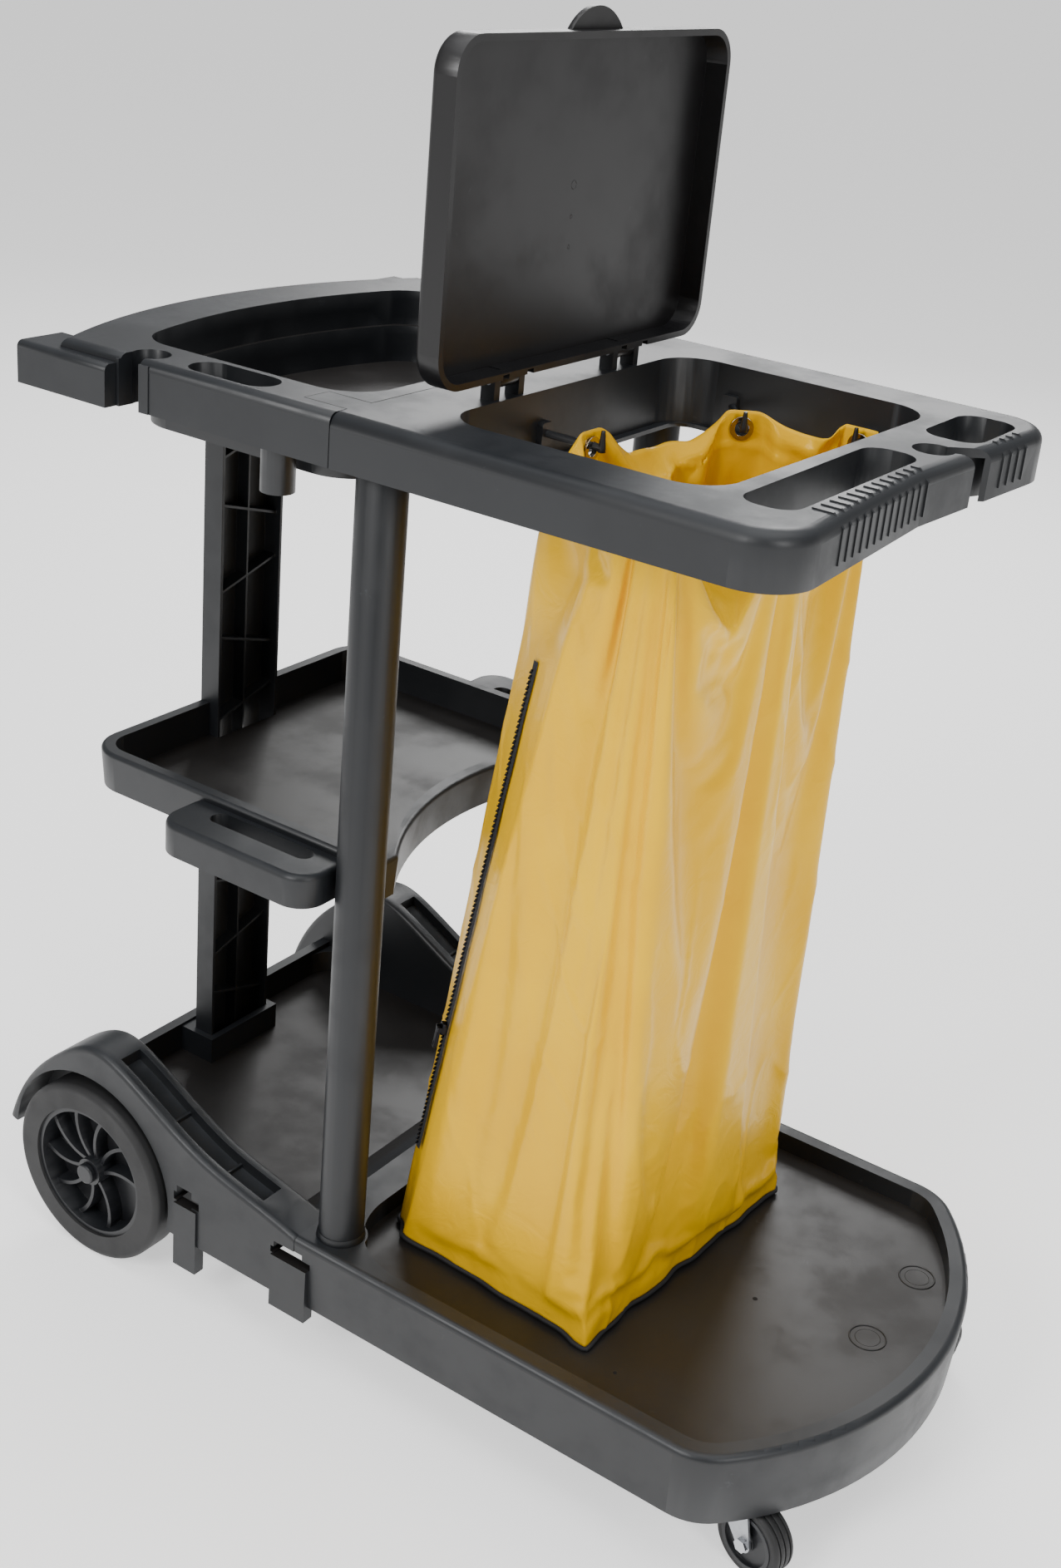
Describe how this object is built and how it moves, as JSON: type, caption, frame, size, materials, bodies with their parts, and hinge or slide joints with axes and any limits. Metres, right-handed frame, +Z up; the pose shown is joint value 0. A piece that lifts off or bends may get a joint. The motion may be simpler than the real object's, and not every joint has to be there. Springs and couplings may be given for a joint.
{
  "type": "housekeeping cart",
  "caption": "Moulded cart with a shelf, a divided top tray, a hung cloth bag under a hinged lid, large rear wheels and swivel casters.",
  "frame": {"origin": "on the floor at the centre of the overall footprint", "axes": "+Z up, +X towards the push handles and casters, -Y the side with the zipper"},
  "size_m": [0.9596, 0.528, 1.2635],
  "materials": {
    "black_polypropylene": "fine matt moulded grain",
    "wheel_nylon": "satin moulded",
    "tyre_rubber": "plain matt rubber",
    "zinc_plated_steel": "bright zinc plating",
    "zinc_fastener": "bright zinc plating",
    "nickel_eyelet": "nickel plated",
    "yellow_coated_nylon": "coated woven cloth with a soft gloss",
    "black_webbing": "woven tape",
    "painted_zip_metal": "gloss black paint"
  },
  "bodies": {
    "cart": {"base_platform": "black_polypropylene", "rear_axle": "zinc_plated_steel", "rear_axle_caps": "wheel_nylon", "rear_column": "black_polypropylene", "post_near": "black_polypropylene", "post_far": "black_polypropylene", "post_screws": "black_polypropylene", "middle_shelf": "black_polypropylene", "top_tray": "black_polypropylene", "top_frame": "black_polypropylene", "bag_hooks": "black_polypropylene", "lid_hinge_pins": "zinc_fastener", "bag": "yellow_coated_nylon", "bag_grommets": "nickel_eyelet", "bag_piping": "black_webbing", "zipper_tape": "black_webbing", "caster_plate_near": "zinc_plated_steel", "caster_plate_screws_near": "zinc_fastener", "caster_kingpin_near": "zinc_plated_steel", "caster_race_near": "zinc_plated_steel", "caster_plate_far": "zinc_plated_steel", "caster_plate_screws_far": "zinc_fastener", "caster_kingpin_far": "zinc_plated_steel", "caster_race_far": "zinc_plated_steel"},
    "lid": {"lid": "black_polypropylene"},
    "zip_slider": {"zip_slider": "painted_zip_metal"},
    "zip_pull": {"zip_pull": "painted_zip_metal"},
    "rear_wheel_near": {"rear_wheel_rim_near": "wheel_nylon", "rear_tyre_near": "tyre_rubber", "rear_wheel_bush_near": "wheel_nylon"},
    "caster_swivel_near": {"caster_fork_near": "zinc_plated_steel", "caster_axle_bolt_near": "zinc_fastener", "caster_axle_nut_near": "zinc_fastener"},
    "caster_roller_near": {"caster_wheel_near": "wheel_nylon", "caster_tread_near": "tyre_rubber"},
    "rear_wheel_far": {"rear_wheel_rim_far": "wheel_nylon", "rear_tyre_far": "tyre_rubber", "rear_wheel_bush_far": "wheel_nylon"},
    "caster_swivel_far": {"caster_fork_far": "zinc_plated_steel", "caster_axle_bolt_far": "zinc_fastener", "caster_axle_nut_far": "zinc_fastener"},
    "caster_roller_far": {"caster_wheel_far": "wheel_nylon", "caster_tread_far": "tyre_rubber"}
  },
  "joints": [
    {"name": "lid_hinge", "type": "hinge", "parent": "cart", "child": "lid", "pos_m": [-0.03, 0, 0.9735], "axis": [0, 1, 0], "range_deg": [0, 90]},
    {"name": "zip_slide", "type": "slide", "parent": "cart", "child": "zip_slider", "axis": [0.1399, 0.0279, 0.9898], "range_m": [-0.12528, 0.36776]},
    {"name": "zip_pull_swing", "type": "hinge", "parent": "zip_slider", "child": "zip_pull", "pos_m": [0.00093, -0.15501, 0.38098], "axis": [-0.7681, 0.6338, 0.0907], "range_deg": [0, 150]},
    {"name": "rear_wheel_spin_near", "type": "hinge", "parent": "cart", "child": "rear_wheel_near", "pos_m": [-0.354, -0.24, 0.1], "axis": [0, 1, 0], "continuous": true},
    {"name": "caster_swivel_turn_near", "type": "hinge", "parent": "cart", "child": "caster_swivel_near", "pos_m": [0.376, -0.174, 0.084], "axis": [0, 0, 1], "continuous": true},
    {"name": "caster_wheel_spin_near", "type": "hinge", "parent": "caster_swivel_near", "child": "caster_roller_near", "pos_m": [0.40523, -0.18075, 0.036], "axis": [-0.225, -0.9744, 0], "continuous": true},
    {"name": "rear_wheel_spin_far", "type": "hinge", "parent": "cart", "child": "rear_wheel_far", "pos_m": [-0.354, 0.24, 0.1], "axis": [0, 1, 0], "continuous": true},
    {"name": "caster_swivel_turn_far", "type": "hinge", "parent": "cart", "child": "caster_swivel_far", "pos_m": [0.376, 0.174, 0.084], "axis": [0, 0, 1], "continuous": true},
    {"name": "caster_wheel_spin_far", "type": "hinge", "parent": "caster_swivel_far", "child": "caster_roller_far", "pos_m": [0.40563, 0.17869, 0.036], "axis": [0.1564, -0.9877, 0], "continuous": true}
  ]
}
